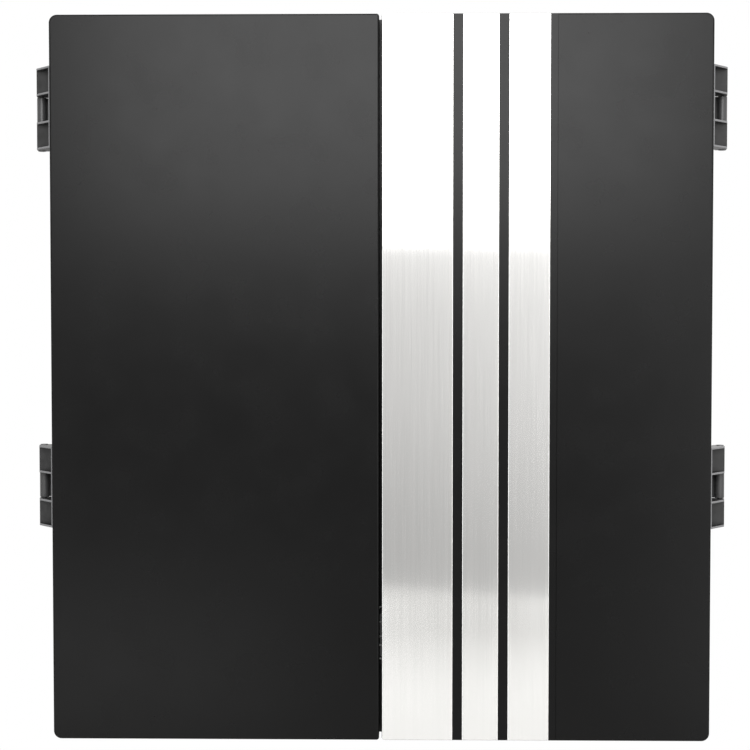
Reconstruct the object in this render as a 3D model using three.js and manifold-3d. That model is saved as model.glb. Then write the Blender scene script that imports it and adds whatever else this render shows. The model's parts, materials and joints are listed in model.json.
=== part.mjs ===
// Dart board cabinet: a moulded case with a soft-tip target in it, shut by two hinged doors.
// Millimetres, +Z up. The origin is the centre of the back face, on the wall, and the front faces -Y.
import * as THREE from 'three';
import { mergeVertices } from 'three/addons/utils/BufferGeometryUtils.js';
import Module from 'manifold-3d';

const wasm = await Module();
wasm.setup();

// ---- Driving sizes ----------------------------------------------------------------------------

const still = 0.3;             // clearance between pieces that stay put
const running = 0.1;           // radial clearance of a pin that turns
const overlap = 0.5;           // how far joined solids run into each other
const past = 1;                // how far a cutter runs past what it cuts

const doors = {
  width: 500, height: 550, depth: 26, gap: 2, wall: 2.5, corner: 6, freeCorner: 2, leastCorner: 0.5, edge: 1.5,
};
const shell = { depth: 42, split: 20, wall: 2.5, corner: 5, sideInset: 4, topInset: 3, seat: 1.5 };
const trim = { widths: [53.7, 27.3, 31.1], groove: 7.35, border: 5.7, thickness: 1, bond: 0.1 };

const hinge = {
  fromTop: 68.7, fromBottom: 192.6, pinOffset: 11.3, pinSetback: 0.5, pinRadius: 1.5, headRadius: 3,
  headHeight: 1.2, knuckle: 20.9, barrel: 20.1, endPlay: 0.4, web: 1.6, rib: 1.2, knuckleRadius: 3.7,
  barrelRadius: 3.6, webSetback: 3.5, noseDepth: 9, noseInset: 0.8, floorRoot: 9.5, floorNose: 5,
  plate: 2.5, plateHeight: 40, plateDepth: 16, fromSplit: 1.8, screwSpacing: 28, pad: 6, armRoot: 9,
};
const screw = { radius: 1.5, headRadius: 3, headHeight: 1.6, length: 9 };

const target = {
  fromTop: 19.5, innerBull: 9, outerBull: 19, trebleOuter: 104, trebleWidth: 12, doubleOuter: 168,
  doubleWidth: 12, bullLip: 2, wire: 1.2, rim: 3.5, flange: 7, face: 5, depth: 10, sunk: 0.5, travel: 1,
  web: 0.8, numberWidth: 28, shelfStep: 1.8, clamp: 5, clampThickness: 1.5, bossRadius: 5, sectors: 20,
};
const layers = { inset: 1, membrane: 0.6, foam: 2.5, board: 3, tailWidth: 32, tailLength: 26 };
const cable = { thickness: 0.6, width: 28, lap: 12, turn: 2, footInset: 8, footStep: 1 };

const panel = {
  fromBottom: 72, windowWidth: 150, windowHeight: 34, lens: 1.6, moduleMargin: 2, boardHeight: 44,
  boardMargin: 2, boardThickness: 1.6, buttonRadius: 7.6, buttonPitch: 35, firstButton: 100,
  buttonProud: 2, buttonChamfer: 1, buttonFlange: 1.7, flangeThickness: 1.2, buttonTravel: 1.2,
  keypad: 2.6, post: 3, postOutset: 3, postInset: 1,
};
const speaker = {
  radius: 19, depth: 12, rim: 3, magnetRadius: 11.4, magnetDepth: 4, fromBottom: 25,
  slots: 5, slotWidth: 2, slotHeight: 22, slotPitch: 6,
};
const jack = { x: 180, width: 12, depth: 10, length: 15, bore: 3.2, boreDepth: 9, pin: 1, fromWall: 5 };
const keyhole = { x: 150, z: 200, headRadius: 5, slotRadius: 2.5, rise: 12 };
const caseScrew = {
  inset: 18, bossRadius: 5, recess: 3, radius: 1.5, headRadius: 3.6, headHeight: 2.2, length: 14,
};
const magnet = {
  width: 10, height: 6, depth: 4, fromGap: 5, fromTop: 8, wall: 2, plate: 0.8, plateMargin: 1.5,
};
const dartHolder = {
  width: 96, height: 60, back: 2, bar: 8, shelf: 4, reach: 16, holeRadius: 4.2, pitch: 32, z: -60,
};

const circleSides = 40;        // facets of the target's circles: two to a sector
const roundSides = 16;         // facets of hinge barrels, buttons and bulls, a multiple of four
const screwSides = 8;          // facets of screws, bosses and their holes
const cornerSteps = 3;         // straight steps of a rounded corner
const edgeSteps = 2;           // straight steps of a rounded edge

// ---- Sizes that follow ------------------------------------------------------------------------

const halfWidth = doors.width / 2;
const halfHeight = doors.height / 2;
const caseHalfWidth = halfWidth - shell.sideInset;
const caseHalfHeight = halfHeight - shell.topInset;
const caseFront = -shell.depth;
const plateBack = caseFront + shell.wall;
const doorBack = caseFront - shell.seat;
const doorFront = doorBack - doors.depth;
const pinX = halfWidth + hinge.pinOffset;
const pinY = doorBack + hinge.pinSetback;
const hingeHeights = [halfHeight - hinge.fromTop, hinge.fromBottom - halfHeight];
const bracketY = -shell.split - hinge.fromSplit - hinge.plateDepth / 2;

const trebleInner = target.trebleOuter - target.trebleWidth;
const doubleInner = target.doubleOuter - target.doubleWidth;
const catchInner = target.doubleOuter + target.rim + overlap;
const catchOuter = catchInner + target.numberWidth;
const targetZ = caseHalfHeight - target.fromTop - catchOuter - shell.wall;
const spiderFront = caseFront + target.face;
const spiderBack = spiderFront + target.depth;
const segmentFront = spiderFront + target.sunk;
const webFront = spiderBack + still;
const webBack = webFront + target.web;
const membraneFront = webBack + target.travel + still;
const foamFront = membraneFront + layers.membrane + still;
const boardFront = foamFront + layers.foam + still;

const panelZ = panel.fromBottom - caseHalfHeight;
const flangeFront = plateBack + still;
const flangeBack = flangeFront + panel.flangeThickness;
const keypadFront = flangeBack + panel.buttonTravel + still;
const controlBoardFront = keypadFront + panel.keypad + still;
const buttonXs = [0, 1, 2, 3].map((i) => panel.firstButton + i * panel.buttonPitch);
const buttonNames = {
  '-1': ['button_hold', 'button_page', 'button_game', 'button_power'],
  1: ['button_start', 'button_player', 'button_miss', 'button_sound'],
};

// ---- Materials --------------------------------------------------------------------------------

const finish = (color, roughness, metalness = 0) =>
  new THREE.MeshStandardMaterial({ color, roughness, metalness });
const blackSatin = finish(0x1c1d1e, 0.45);
const blackMatt = finish(0x202224, 0.7);
const brushed = finish(0xd8d7d4, 0.35, 1);
const steel = finish(0xa9abad, 0.3, 1);
const red = finish(0xa51f24, 0.5);
const green = finish(0x1d6b43, 0.5);
const cream = finish(0xd9d2bd, 0.55);
const film = finish(0xc9c2a0, 0.5);
const foam = finish(0x3a3b3c, 0.95);
const fibreboard = finish(0x8a6b48, 0.85);
const circuit = finish(0x1d5b37, 0.5);
const glassy = finish(0x2b3330, 0.1);
const silicone = finish(0xb7bcbe, 0.7);

// ---- Solids from three.js geometry ------------------------------------------------------------

/** A closed geometry as a solid, with its faces turned outwards. */
function solid(geometry) {
  geometry.deleteAttribute('normal');
  geometry.deleteAttribute('uv');
  const merged = mergeVertices(geometry);
  const points = merged.attributes.position.array;
  const corners = merged.index.array;
  const triangles = [];
  let volume = 0;
  const a = new THREE.Vector3();
  const b = new THREE.Vector3();
  const c = new THREE.Vector3();
  for (let i = 0; i < corners.length; i += 3) {
    const [p, q, r] = [corners[i], corners[i + 1], corners[i + 2]];
    if (p === q || q === r || r === p) continue;
    triangles.push([p, q, r]);
    a.fromArray(points, 3 * p);
    b.fromArray(points, 3 * q);
    c.fromArray(points, 3 * r);
    volume += a.dot(b.cross(c));
  }
  const outwards = volume > 0 ? triangles : triangles.map(([p, q, r]) => [p, r, q]);
  return new wasm.Manifold(new wasm.Mesh({
    numProp: 3,
    vertProperties: new Float32Array(points),
    triVerts: new Uint32Array(outwards.flat()),
  }));
}

/** All the solids of a list joined into one. */
const join = (solids) => solids.reduce((sum, one) => sum.add(one));

/** A solid with each solid of a list cut from it. */
const cut = (body, tools) => body.subtract(join(tools));

/** A block between two values on each axis, given in any order. */
function block([x0, x1], [y0, y1], [z0, z1]) {
  const geometry = new THREE.BoxGeometry(Math.abs(x1 - x0), Math.abs(y1 - y0), Math.abs(z1 - z0));
  geometry.translate((x0 + x1) / 2, (y0 + y1) / 2, (z0 + z1) / 2);
  return solid(geometry);
}

/** A block centred at x and z, running between two depths. */
const slab = (x, z, width, height, depths) =>
  block([x - width / 2, x + width / 2], depths, [z - height / 2, z + height / 2]);

/** A round bar along Y, centred at x and z. */
function barY(x, z, radius, [y0, y1], sides = roundSides) {
  const geometry = new THREE.CylinderGeometry(radius, radius, Math.abs(y1 - y0), sides);
  geometry.translate(x, (y0 + y1) / 2, z);
  return solid(geometry);
}

/** A round bar along Z, centred at x and y. */
function barZ(x, y, radius, [z0, z1], sides = roundSides) {
  const geometry = new THREE.CylinderGeometry(radius, radius, Math.abs(z1 - z0), sides);
  geometry.rotateX(Math.PI / 2);
  geometry.translate(x, y, (z0 + z1) / 2);
  return solid(geometry);
}

/** A round bar along X, centred at y and z. */
function barX(y, z, radius, [x0, x1], sides = roundSides) {
  const geometry = new THREE.CylinderGeometry(radius, radius, Math.abs(x1 - x0), sides);
  geometry.rotateZ(Math.PI / 2);
  geometry.translate((x0 + x1) / 2, y, z);
  return solid(geometry);
}

/** The corner radius of a faceted hole whose flats clear a round bar of this radius. */
const boreRadius = (radius, clearance, sides = roundSides) => (radius + clearance) / Math.cos(Math.PI / sides);

/** A closed profile of radius and depth turned about the Y axis. */
function turned(profile, sides = circleSides) {
  const points = [...profile, profile[0]].map(([radius, depth]) => new THREE.Vector2(radius, depth));
  return solid(new THREE.LatheGeometry(points, sides));
}

/** A flat ring about the Y axis. */
const ring = (inner, outer, [y0, y1], sides = circleSides) =>
  turned([[inner, y0], [outer, y0], [outer, y1], [inner, y1]], sides);

/** An outline in X and Z with a radius for each corner: low x low z, high x low z, then the upper two. */
function roundedOutline([x0, x1], [z0, z1], [lowLow, highLow, highHigh, lowHigh]) {
  const shape = new THREE.Shape();
  shape.absarc(x0 + lowLow, z0 + lowLow, lowLow, Math.PI, 1.5 * Math.PI);
  shape.absarc(x1 - highLow, z0 + highLow, highLow, 1.5 * Math.PI, 2 * Math.PI);
  shape.absarc(x1 - highHigh, z1 - highHigh, highHigh, 0, 0.5 * Math.PI);
  shape.absarc(x0 + lowHigh, z1 - lowHigh, lowHigh, 0.5 * Math.PI, Math.PI);
  return shape;
}

/** An outline in X and Z extruded from one depth towards the front, with an optional rounded edge. */
function extrudedY(shape, back, front, edge = 0) {
  const options = edge > 0
    ? { bevelThickness: edge, bevelSize: edge, bevelOffset: -edge, bevelSegments: edgeSteps }
    : { bevelEnabled: false };
  const size = { depth: back - front - 2 * edge, curveSegments: cornerSteps };
  const geometry = new THREE.ExtrudeGeometry(shape, { ...size, ...options });
  geometry.rotateX(Math.PI / 2);
  geometry.translate(0, back - edge, 0);
  return solid(geometry);
}

/** An outline in X and Y extruded between two heights. */
function extrudedZ(points, [z0, z1]) {
  const shape = new THREE.Shape(points.map(([x, y]) => new THREE.Vector2(x, y)));
  const geometry = new THREE.ExtrudeGeometry(shape, { depth: z1 - z0, bevelEnabled: false });
  geometry.translate(0, 0, z0);
  return solid(geometry);
}

/** The named mesh of a solid. */
function piece(name, body, material) {
  const { vertProperties, triVerts } = body.getMesh();
  const geometry = new THREE.BufferGeometry();
  geometry.setAttribute('position', new THREE.BufferAttribute(new Float32Array(vertProperties), 3));
  geometry.setIndex(new THREE.BufferAttribute(new Uint32Array(triVerts), 1));
  const mesh = new THREE.Mesh(geometry, material.clone());
  mesh.name = name;
  return mesh;
}

/** A group at a place, holding the given objects. */
function placed(x, y, z, ...objects) {
  const group = new THREE.Group();
  group.position.set(x, y, z);
  group.add(...objects);
  return group;
}

const sides = { left: -1, right: 1 };

// ---- Case -------------------------------------------------------------------------------------

const caseOutline = (wall) => {
  const radius = shell.corner - wall;
  return roundedOutline(
    [wall - caseHalfWidth, caseHalfWidth - wall],
    [wall - caseHalfHeight, caseHalfHeight - wall],
    [radius, radius, radius, radius],
  );
};

const caseScrewPlaces = [-1, 1].flatMap((x) => [-1, 1].map((z) => [
  x * (caseHalfWidth - caseScrew.inset),
  z * (caseHalfHeight - caseScrew.inset),
]));

/** The back half: a tray against the wall, with keyholes, screw bosses and the power inlet's cut-out. */
function rearHousing() {
  const tray = cut(extrudedY(caseOutline(0), 0, -shell.split), [
    extrudedY(caseOutline(shell.wall), -shell.wall, -shell.split - past),
  ]);
  const bossEnd = -caseScrew.recess - shell.wall;
  const bosses = caseScrewPlaces.map(([x, z]) =>
    barY(x, z, caseScrew.headRadius + still + shell.wall, [overlap - shell.wall, bossEnd], screwSides));
  const recesses = caseScrewPlaces.map(([x, z]) =>
    barY(x, z, caseScrew.headRadius + still, [past, -caseScrew.recess], screwSides));
  const holes = caseScrewPlaces.map(([x, z]) =>
    barY(x, z, caseScrew.radius + still, [past, bossEnd - past], screwSides));
  const keyholes = [-1, 1].flatMap((s) => [
    barY(s * keyhole.x, keyhole.z, keyhole.headRadius, [past, -shell.wall - past]),
    barY(s * keyhole.x, keyhole.z + keyhole.rise, keyhole.slotRadius, [past, -shell.wall - past]),
    slab(
      s * keyhole.x, keyhole.z + keyhole.rise / 2,
      2 * keyhole.slotRadius, keyhole.rise, [past, -shell.wall - past],
    ),
  ]);
  const inlet = block(
    [jack.x - jack.width / 2 - still, jack.x + jack.width / 2 + still],
    [-jack.fromWall + still, -jack.fromWall - jack.depth - still],
    [-caseHalfHeight - past, shell.wall - caseHalfHeight + past],
  );
  return cut(join([tray, ...bosses]), [...recesses, ...holes, ...keyholes, inlet]);
}

/** The front half: the face, open around the target, with the control panel's holes and the bosses. */
function frontHousing() {
  const back = -shell.split - still;
  const body = cut(extrudedY(caseOutline(0), back, caseFront), [
    extrudedY(caseOutline(shell.wall), back + past, plateBack),
  ]);
  const opening = barY(0, targetZ, catchOuter, [caseFront - past, plateBack + past], circleSides);
  const screwBossEnd = -caseScrew.recess - shell.wall - still;
  const screwBosses = caseScrewPlaces.map(([x, z]) =>
    barY(x, z, caseScrew.bossRadius, [screwBossEnd, plateBack - overlap], screwSides));
  const pilotHoles = caseScrewPlaces.map(([x, z]) =>
    barY(x, z, caseScrew.radius + still, [screwBossEnd + past, screwBossEnd - caseScrew.length], screwSides));

  const pads = hingeHeights.flatMap((z) => [-1, 1].map((s) => block(
    [s * (caseHalfWidth - shell.wall - hinge.pad), s * (caseHalfWidth - overlap)],
    [back, plateBack - overlap],
    [z - hinge.plateHeight / 2, z + hinge.plateHeight / 2],
  )));
  const padHoles = hingeHeights.flatMap((z) => [-1, 1].flatMap((s) => [-1, 1].map((end) => barX(
    bracketY, z + end * hinge.screwSpacing / 2, screw.radius + still,
    [s * (caseHalfWidth + past), s * (caseHalfWidth - shell.wall - hinge.pad - past)],
    screwSides,
  ))));

  const window = slab(0, panelZ, panel.windowWidth, panel.windowHeight, [caseFront - past, plateBack + past]);
  const buttonHoles = [-1, 1].flatMap((s) => buttonXs.map((x) =>
    barY(s * x, panelZ, panel.buttonRadius + 2 * still, [caseFront - past, plateBack + past])));
  const posts = [-1, 1].flatMap((s) => [-1, 1].map((end) => barY(
    s * (panel.windowWidth / 2 + panel.post + panel.postOutset),
    panelZ + end * (panel.boardHeight / 2 - panel.post - panel.postInset),
    panel.post,
    [controlBoardFront - still, plateBack - overlap],
    screwSides,
  )));
  const speakerZ = speaker.fromBottom - caseHalfHeight;
  const slots = Array.from({ length: speaker.slots }, (_, i) => slab(
    (i - (speaker.slots - 1) / 2) * speaker.slotPitch,
    speakerZ,
    speaker.slotWidth,
    speaker.slotHeight,
    [caseFront - past, plateBack + past],
  ));
  const joined = join([body, ...screwBosses, ...pads, ...posts]);
  return cut(joined, [opening, ...pilotHoles, ...padHoles, window, ...buttonHoles, ...slots]);
}

/** A screw with a round head, its head's underside at the origin and its point along -Y. */
function screwAlongY(size) {
  return turned([
    [0, size.headHeight],
    [size.headRadius, size.headHeight],
    [size.headRadius, 0],
    [size.radius, 0],
    [size.radius, -size.length],
    [0, -size.length],
  ], screwSides);
}

const caseParts = placed(
  0, 0, 0,
  piece('rear_housing', rearHousing(), blackMatt),
  piece('front_housing', frontHousing(), blackSatin),
);
caseScrewPlaces.forEach(([x, z], i) => {
  const mesh = piece(`case_screw_${i + 1}`, screwAlongY(caseScrew), steel);
  mesh.position.set(x, -caseScrew.recess + still, z);
  caseParts.add(mesh);
});

// ---- Target -----------------------------------------------------------------------------------

/** The ring that carries the numbers, clamped behind the case's face, with a lip around the target. */
function numberRing() {
  const front = caseFront + target.shelfStep;
  const back = plateBack + still + target.clampThickness;
  const lipBack = spiderBack - 2 * still;
  const body = turned([
    [catchInner, front],
    [catchOuter - still, front],
    [catchOuter - still, plateBack + still],
    [catchOuter + target.clamp, plateBack + still],
    [catchOuter + target.clamp, back],
    [catchInner + shell.wall, back],
    [catchInner + shell.wall, lipBack],
    [catchInner, lipBack],
  ]);
  const bossCircle = (catchInner + shell.wall + catchOuter) / 2;
  const bosses = [1, 3, 5, 7].map((eighth) => barY(
    bossCircle * Math.sin(eighth * Math.PI / 4),
    bossCircle * Math.cos(eighth * Math.PI / 4),
    target.bossRadius,
    [boardFront - still, back - overlap],
    screwSides,
  ));
  return join([body, ...bosses]);
}

/** Twenty radial bars between two radii, one at each border between sectors. */
function spokes(inner, outer, width, depths) {
  return join(Array.from({ length: target.sectors }, (_, i) => {
    const geometry = new THREE.BoxGeometry(width, Math.abs(depths[1] - depths[0]), outer - inner);
    geometry.translate(0, (depths[0] + depths[1]) / 2, (inner + outer) / 2);
    geometry.rotateY((i + 0.5) * 2 * Math.PI / target.sectors);
    return solid(geometry);
  }));
}

/** The wire grid, moulded in one with its rim and the flange that the case's lip holds. */
function spider() {
  const depths = [spiderFront, spiderBack];
  const circles = [target.outerBull, trebleInner, target.trebleOuter, doubleInner].map((radius) =>
    ring(radius - target.wire / 2, radius + target.wire / 2, depths));
  const rim = turned([
    [target.doubleOuter, spiderFront],
    [target.doubleOuter + target.rim, spiderFront],
    [target.doubleOuter + target.rim, spiderBack - still],
    [target.doubleOuter + target.flange, spiderBack - still],
    [target.doubleOuter + target.flange, webBack],
    [target.doubleOuter, webBack],
  ]);
  return join([rim, ...circles, spokes(target.outerBull, target.doubleOuter + overlap, target.wire, depths)]);
}

/** One ring of twenty scoring segments, on the thin web behind the grid that carries them. */
function segmentRing(inner, outer) {
  const edge = target.wire / 2 + still;
  return ring(inner + edge, outer - edge, [segmentFront, webBack])
    .subtract(spokes(inner - past, outer + past, target.wire + 2 * still, [segmentFront - past, webFront]));
}

/** The outer bull: a ring that slides in the grid, its flange behind the grid. */
function outerBull() {
  const bore = target.innerBull + still;
  return turned([
    [bore, segmentFront],
    [target.outerBull - target.wire / 2 - still, segmentFront],
    [target.outerBull - target.wire / 2 - still, webFront],
    [target.outerBull + target.wire / 2, webFront],
    [target.outerBull + target.wire / 2, webBack],
    [bore + target.bullLip, webBack],
    [bore + target.bullLip, webBack - 2 * target.travel - still],
    [bore, webBack - 2 * target.travel - still],
  ], roundSides);
}

/** The inner bull: a plug that slides in the outer one, its flange in the outer one's back recess. */
function innerBull() {
  return turned([
    [0, segmentFront - still],
    [target.innerBull, segmentFront - still],
    [target.innerBull, webBack - target.travel],
    [target.innerBull + target.bullLip - still, webBack - target.travel],
    [target.innerBull + target.bullLip - still, webBack],
    [0, webBack],
  ], roundSides);
}

const layerRadius = target.doubleOuter + target.flange - layers.inset;
const tailEnd = layerRadius + layers.tailLength;

/** A layer of the stack behind the segments: a disc between two depths. */
const layer = (radius, front, thickness) => barY(0, 0, radius, [front, front + thickness], circleSides);

/** The sensor film: a disc with a tail that runs down to its cable. */
const membrane = () => layer(layerRadius, membraneFront, layers.membrane).add(block(
  [-layers.tailWidth / 2, layers.tailWidth / 2],
  [membraneFront, membraneFront + layers.membrane],
  [-tailEnd, layers.tailWidth - layerRadius],
));

const targetParts = placed(
  0, 0, targetZ,
  piece('number_ring', numberRing(), blackMatt),
  piece('target_spider', spider(), blackMatt),
  piece('double_ring', segmentRing(doubleInner, target.doubleOuter + target.wire / 2), red),
  piece('outer_single_ring', segmentRing(target.trebleOuter, doubleInner), cream),
  piece('treble_ring', segmentRing(trebleInner, target.trebleOuter), green),
  piece('inner_single_ring', segmentRing(target.outerBull, trebleInner), cream),
  piece('outer_bull', outerBull(), green),
  piece('inner_bull', innerBull(), red),
  piece('sensor_membrane', membrane(), film),
  piece('foam_pad', layer(layerRadius, foamFront, layers.foam), foam),
  piece('backing_board', layer(catchOuter, boardFront, layers.board), fibreboard),
);

// ---- Control panel ----------------------------------------------------------------------------

/** A button: a cap through the case's face, on a flange that stops it from falling out. */
const button = () => turned([
  [0, caseFront - panel.buttonProud],
  [panel.buttonRadius - panel.buttonChamfer, caseFront - panel.buttonProud],
  [panel.buttonRadius, caseFront - panel.buttonProud + panel.buttonChamfer],
  [panel.buttonRadius, flangeFront],
  [panel.buttonRadius + panel.buttonFlange, flangeFront],
  [panel.buttonRadius + panel.buttonFlange, flangeBack],
  [0, flangeBack],
], roundSides);

const lastButton = buttonXs[buttonXs.length - 1];
const keypadEdge = panel.buttonRadius + panel.buttonFlange;
const boardHalf = lastButton + keypadEdge + panel.boardMargin;

/** The silicone mat of one group of buttons. */
const keypad = (s) => block(
  [s * (panel.firstButton - keypadEdge), s * (lastButton + keypadEdge)],
  [keypadFront, keypadFront + panel.keypad],
  [-keypadEdge, keypadEdge],
);

/** The flat cable, from behind the membrane's tail, under its end and down to the control board's back. */
function ribbonCable() {
  const tail = targetZ - tailEnd - panelZ;
  const foot = panel.boardHeight / 2 - cable.footInset;
  const plugY = controlBoardFront + panel.boardThickness + still;
  const leadY = membraneFront + layers.membrane + still;
  const line = [
    [foot, plugY],
    [tail - cable.lap, plugY + cable.footStep],
    [tail - cable.turn, leadY],
    [tail + cable.lap, leadY],
  ];
  const farSide = line.map(([z, y]) => [z, y + cable.thickness]).reverse();
  const shape = new THREE.Shape([...line, ...farSide].map(([z, y]) => new THREE.Vector2(y, z)));
  const geometry = new THREE.ExtrudeGeometry(shape, { depth: cable.width, bevelEnabled: false });
  geometry.translate(0, 0, -cable.width / 2);
  geometry.rotateY(Math.PI / 2);
  geometry.rotateX(Math.PI / 2);
  return solid(geometry);
}

const speakerLocalZ = speaker.fromBottom - panel.fromBottom;
const behindFace = plateBack + still;
const speakerBody = turned([
  [0, behindFace],
  [speaker.radius, behindFace],
  [speaker.radius, behindFace + speaker.rim],
  [speaker.magnetRadius, behindFace + speaker.depth - speaker.magnetDepth],
  [speaker.magnetRadius, behindFace + speaker.depth],
  [0, behindFace + speaker.depth],
]);

const panelParts = placed(
  0, 0, panelZ,
  piece('display_lens', slab(
    0, 0, panel.windowWidth - 2 * still, panel.windowHeight - 2 * still, [plateBack - panel.lens, plateBack],
  ), glassy),
  piece('display_module', slab(
    0, 0, panel.windowWidth + 2 * panel.moduleMargin, panel.windowHeight + 2 * panel.moduleMargin,
    [behindFace, controlBoardFront - still],
  ), glassy),
  piece('control_board', slab(
    0, 0, 2 * boardHalf, panel.boardHeight, [controlBoardFront, controlBoardFront + panel.boardThickness],
  ), circuit),
);
for (const [side, s] of Object.entries(sides)) {
  panelParts.add(piece(`keypad_${side}`, keypad(s), silicone));
  buttonXs.forEach((x, i) => panelParts.add(placed(s * x, 0, 0, piece(buttonNames[s][i], button(), silicone))));
}
panelParts.add(
  piece('ribbon_cable', ribbonCable(), film),
  placed(0, 0, speakerLocalZ, piece('speaker', speakerBody, blackMatt)),
);

// ---- Power inlet ------------------------------------------------------------------------------

/** The inlet's body, its face flush with the case's underside, with a socket around a centre pin. */
function powerJack() {
  const middle = -jack.fromWall - jack.depth / 2;
  const depths = [middle - jack.depth / 2, middle + jack.depth / 2];
  const body = slab(0, jack.length / 2, jack.width, jack.length, depths);
  const socket = barZ(0, middle, jack.bore, [-past, jack.boreDepth]);
  const pin = barZ(0, middle, jack.pin, [jack.pin, jack.boreDepth + overlap], screwSides);
  return body.subtract(socket).add(pin);
}

const inletParts = placed(jack.x, 0, -caseHalfHeight, piece('power_jack', powerJack(), blackMatt));

// ---- Hinges -----------------------------------------------------------------------------------

/** A knuckle's section in X and Y about the pin, its front edge running from the door out to the nose. */
function knuckleSection(s, root, nose) {
  const doorSide = -hinge.pinOffset;
  const rim = doorBack - pinY;
  const steps = roundSides / 2;
  const arc = Array.from({ length: steps + 1 }, (_, i) => [
    hinge.knuckleRadius * Math.cos(i * Math.PI / steps),
    hinge.knuckleRadius * Math.sin(i * Math.PI / steps),
  ]);
  return [
    [doorSide - overlap, -root],
    [doorSide + hinge.rib, -root],
    [hinge.knuckleRadius - hinge.noseInset * nose / hinge.noseDepth, -nose],
    ...arc,
    [-hinge.knuckleRadius, rim],
    [doorSide - overlap, rim],
  ].map(([x, y]) => [s * x, y]);
}

/** The two knuckles that a door carries for one hinge: each a block with a pocket between two webs. */
function doorKnuckles(s) {
  const front = pinY - doorFront - hinge.webSetback;
  const inner = hinge.barrel / 2;
  const outer = inner + hinge.knuckle;
  const webSection = knuckleSection(s, front, hinge.noseDepth);
  const floorSection = knuckleSection(s, hinge.floorRoot, hinge.floorNose);
  const webs = [-outer, -inner - hinge.web, inner, outer - hinge.web].map((low) =>
    extrudedZ(webSection, [low, low + hinge.web]));
  const rib = block(
    [-s * (hinge.pinOffset + overlap), -s * (hinge.pinOffset - hinge.rib)],
    [-front, doorBack - pinY],
    [-outer, outer],
  );
  return cut(join([
    ...webs,
    rib,
    extrudedZ(floorSection, [inner, outer]),
    extrudedZ(floorSection, [-outer, -inner]),
  ]), [barZ(0, 0, boreRadius(hinge.pinRadius, running), [-outer - past, outer + past])]);
}

/** The case's part of a hinge: a screwed plate, with an arm that carries the middle barrel. */
function hingeBracket(s) {
  const plateInner = caseHalfWidth + still - pinX;
  const plateOuter = plateInner + hinge.plate;
  const middle = bracketY - pinY;
  const low = middle - hinge.plateDepth / 2;
  const half = hinge.barrel / 2 - hinge.endPlay;
  const plate = block(
    [s * plateInner, s * plateOuter],
    [low, low + hinge.plateDepth],
    [-hinge.plateHeight / 2, hinge.plateHeight / 2],
  );
  const arm = extrudedZ([
    [plateOuter - overlap, low],
    [plateOuter - overlap, low + hinge.armRoot],
    [0, hinge.barrelRadius - overlap],
    [-hinge.pinRadius, 0],
  ].map(([x, y]) => [s * x, y]), [-half, half]);
  const holes = [-1, 1].map((end) => barX(
    middle, end * hinge.screwSpacing / 2, screw.radius + still,
    [s * (plateInner - past), s * (plateOuter + past)],
    screwSides,
  ));
  const bore = barZ(0, 0, boreRadius(hinge.pinRadius, running), [-half - past, half + past]);
  return cut(join([plate, arm, barZ(0, 0, hinge.barrelRadius, [-half, half])]), [...holes, bore]);
}

/** The hinge pin, headed at both ends so that it stays in. */
function hingePin() {
  const half = hinge.barrel / 2 + hinge.knuckle + hinge.endPlay;
  return join([
    barZ(0, 0, hinge.pinRadius, [-half - overlap, half + overlap]),
    barZ(0, 0, hinge.headRadius, [half, half + hinge.headHeight]),
    barZ(0, 0, hinge.headRadius, [-half - hinge.headHeight, -half]),
  ]);
}

/** A bracket screw, its head outside the plate and its point towards the cabinet's middle. */
function bracketScrew(s) {
  const mesh = piece('', screwAlongY(screw), steel);
  mesh.rotation.z = -s * Math.PI / 2;
  return mesh;
}

const hingeParts = new THREE.Group();
for (const [side, s] of Object.entries(sides)) {
  ['upper', 'lower'].forEach((level, i) => {
    const name = `${level}_${side}`;
    const screws = [-1, 1].map((end) => {
      const mesh = bracketScrew(s);
      mesh.name = `bracket_screw_${name}_${end < 0 ? 'low' : 'high'}`;
      mesh.position.set(
        s * (caseHalfWidth + 2 * still + hinge.plate - pinX),
        bracketY - pinY,
        end * hinge.screwSpacing / 2,
      );
      return mesh;
    });
    hingeParts.add(placed(
      s * pinX, pinY, hingeHeights[i],
      piece(`hinge_bracket_${name}`, hingeBracket(s), blackMatt),
      piece(`hinge_pin_${name}`, hingePin(), steel),
      ...screws,
    ));
  });
}

// ---- Doors ------------------------------------------------------------------------------------

const freeEdge = doors.gap / 2;
const channelWidth = trim.widths.reduce((sum, width) => sum + width, 0) + 2 * trim.groove + trim.border;
const channelDepth = trim.thickness + 2 * trim.bond;
const magnetX = freeEdge + magnet.fromGap + magnet.width / 2;
const magnetZ = halfHeight - magnet.fromTop - magnet.height / 2;
const doorMiddle = (freeEdge + halfWidth) / 2;

/** The outline of a door in X and Z, inset by a wall. */
function doorOutline(s, wall) {
  const outerCorner = Math.max(doors.corner - wall, doors.leastCorner);
  const freeCorner = Math.max(doors.freeCorner - wall, doors.leastCorner);
  const xs = [s * (freeEdge + wall), s * (halfWidth - wall)].sort((a, b) => a - b);
  const corners = s > 0
    ? [freeCorner, outerCorner, outerCorner, freeCorner]
    : [outerCorner, freeCorner, freeCorner, outerCorner];
  return roundedOutline(xs, [wall - halfHeight, halfHeight - wall], corners);
}

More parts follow.
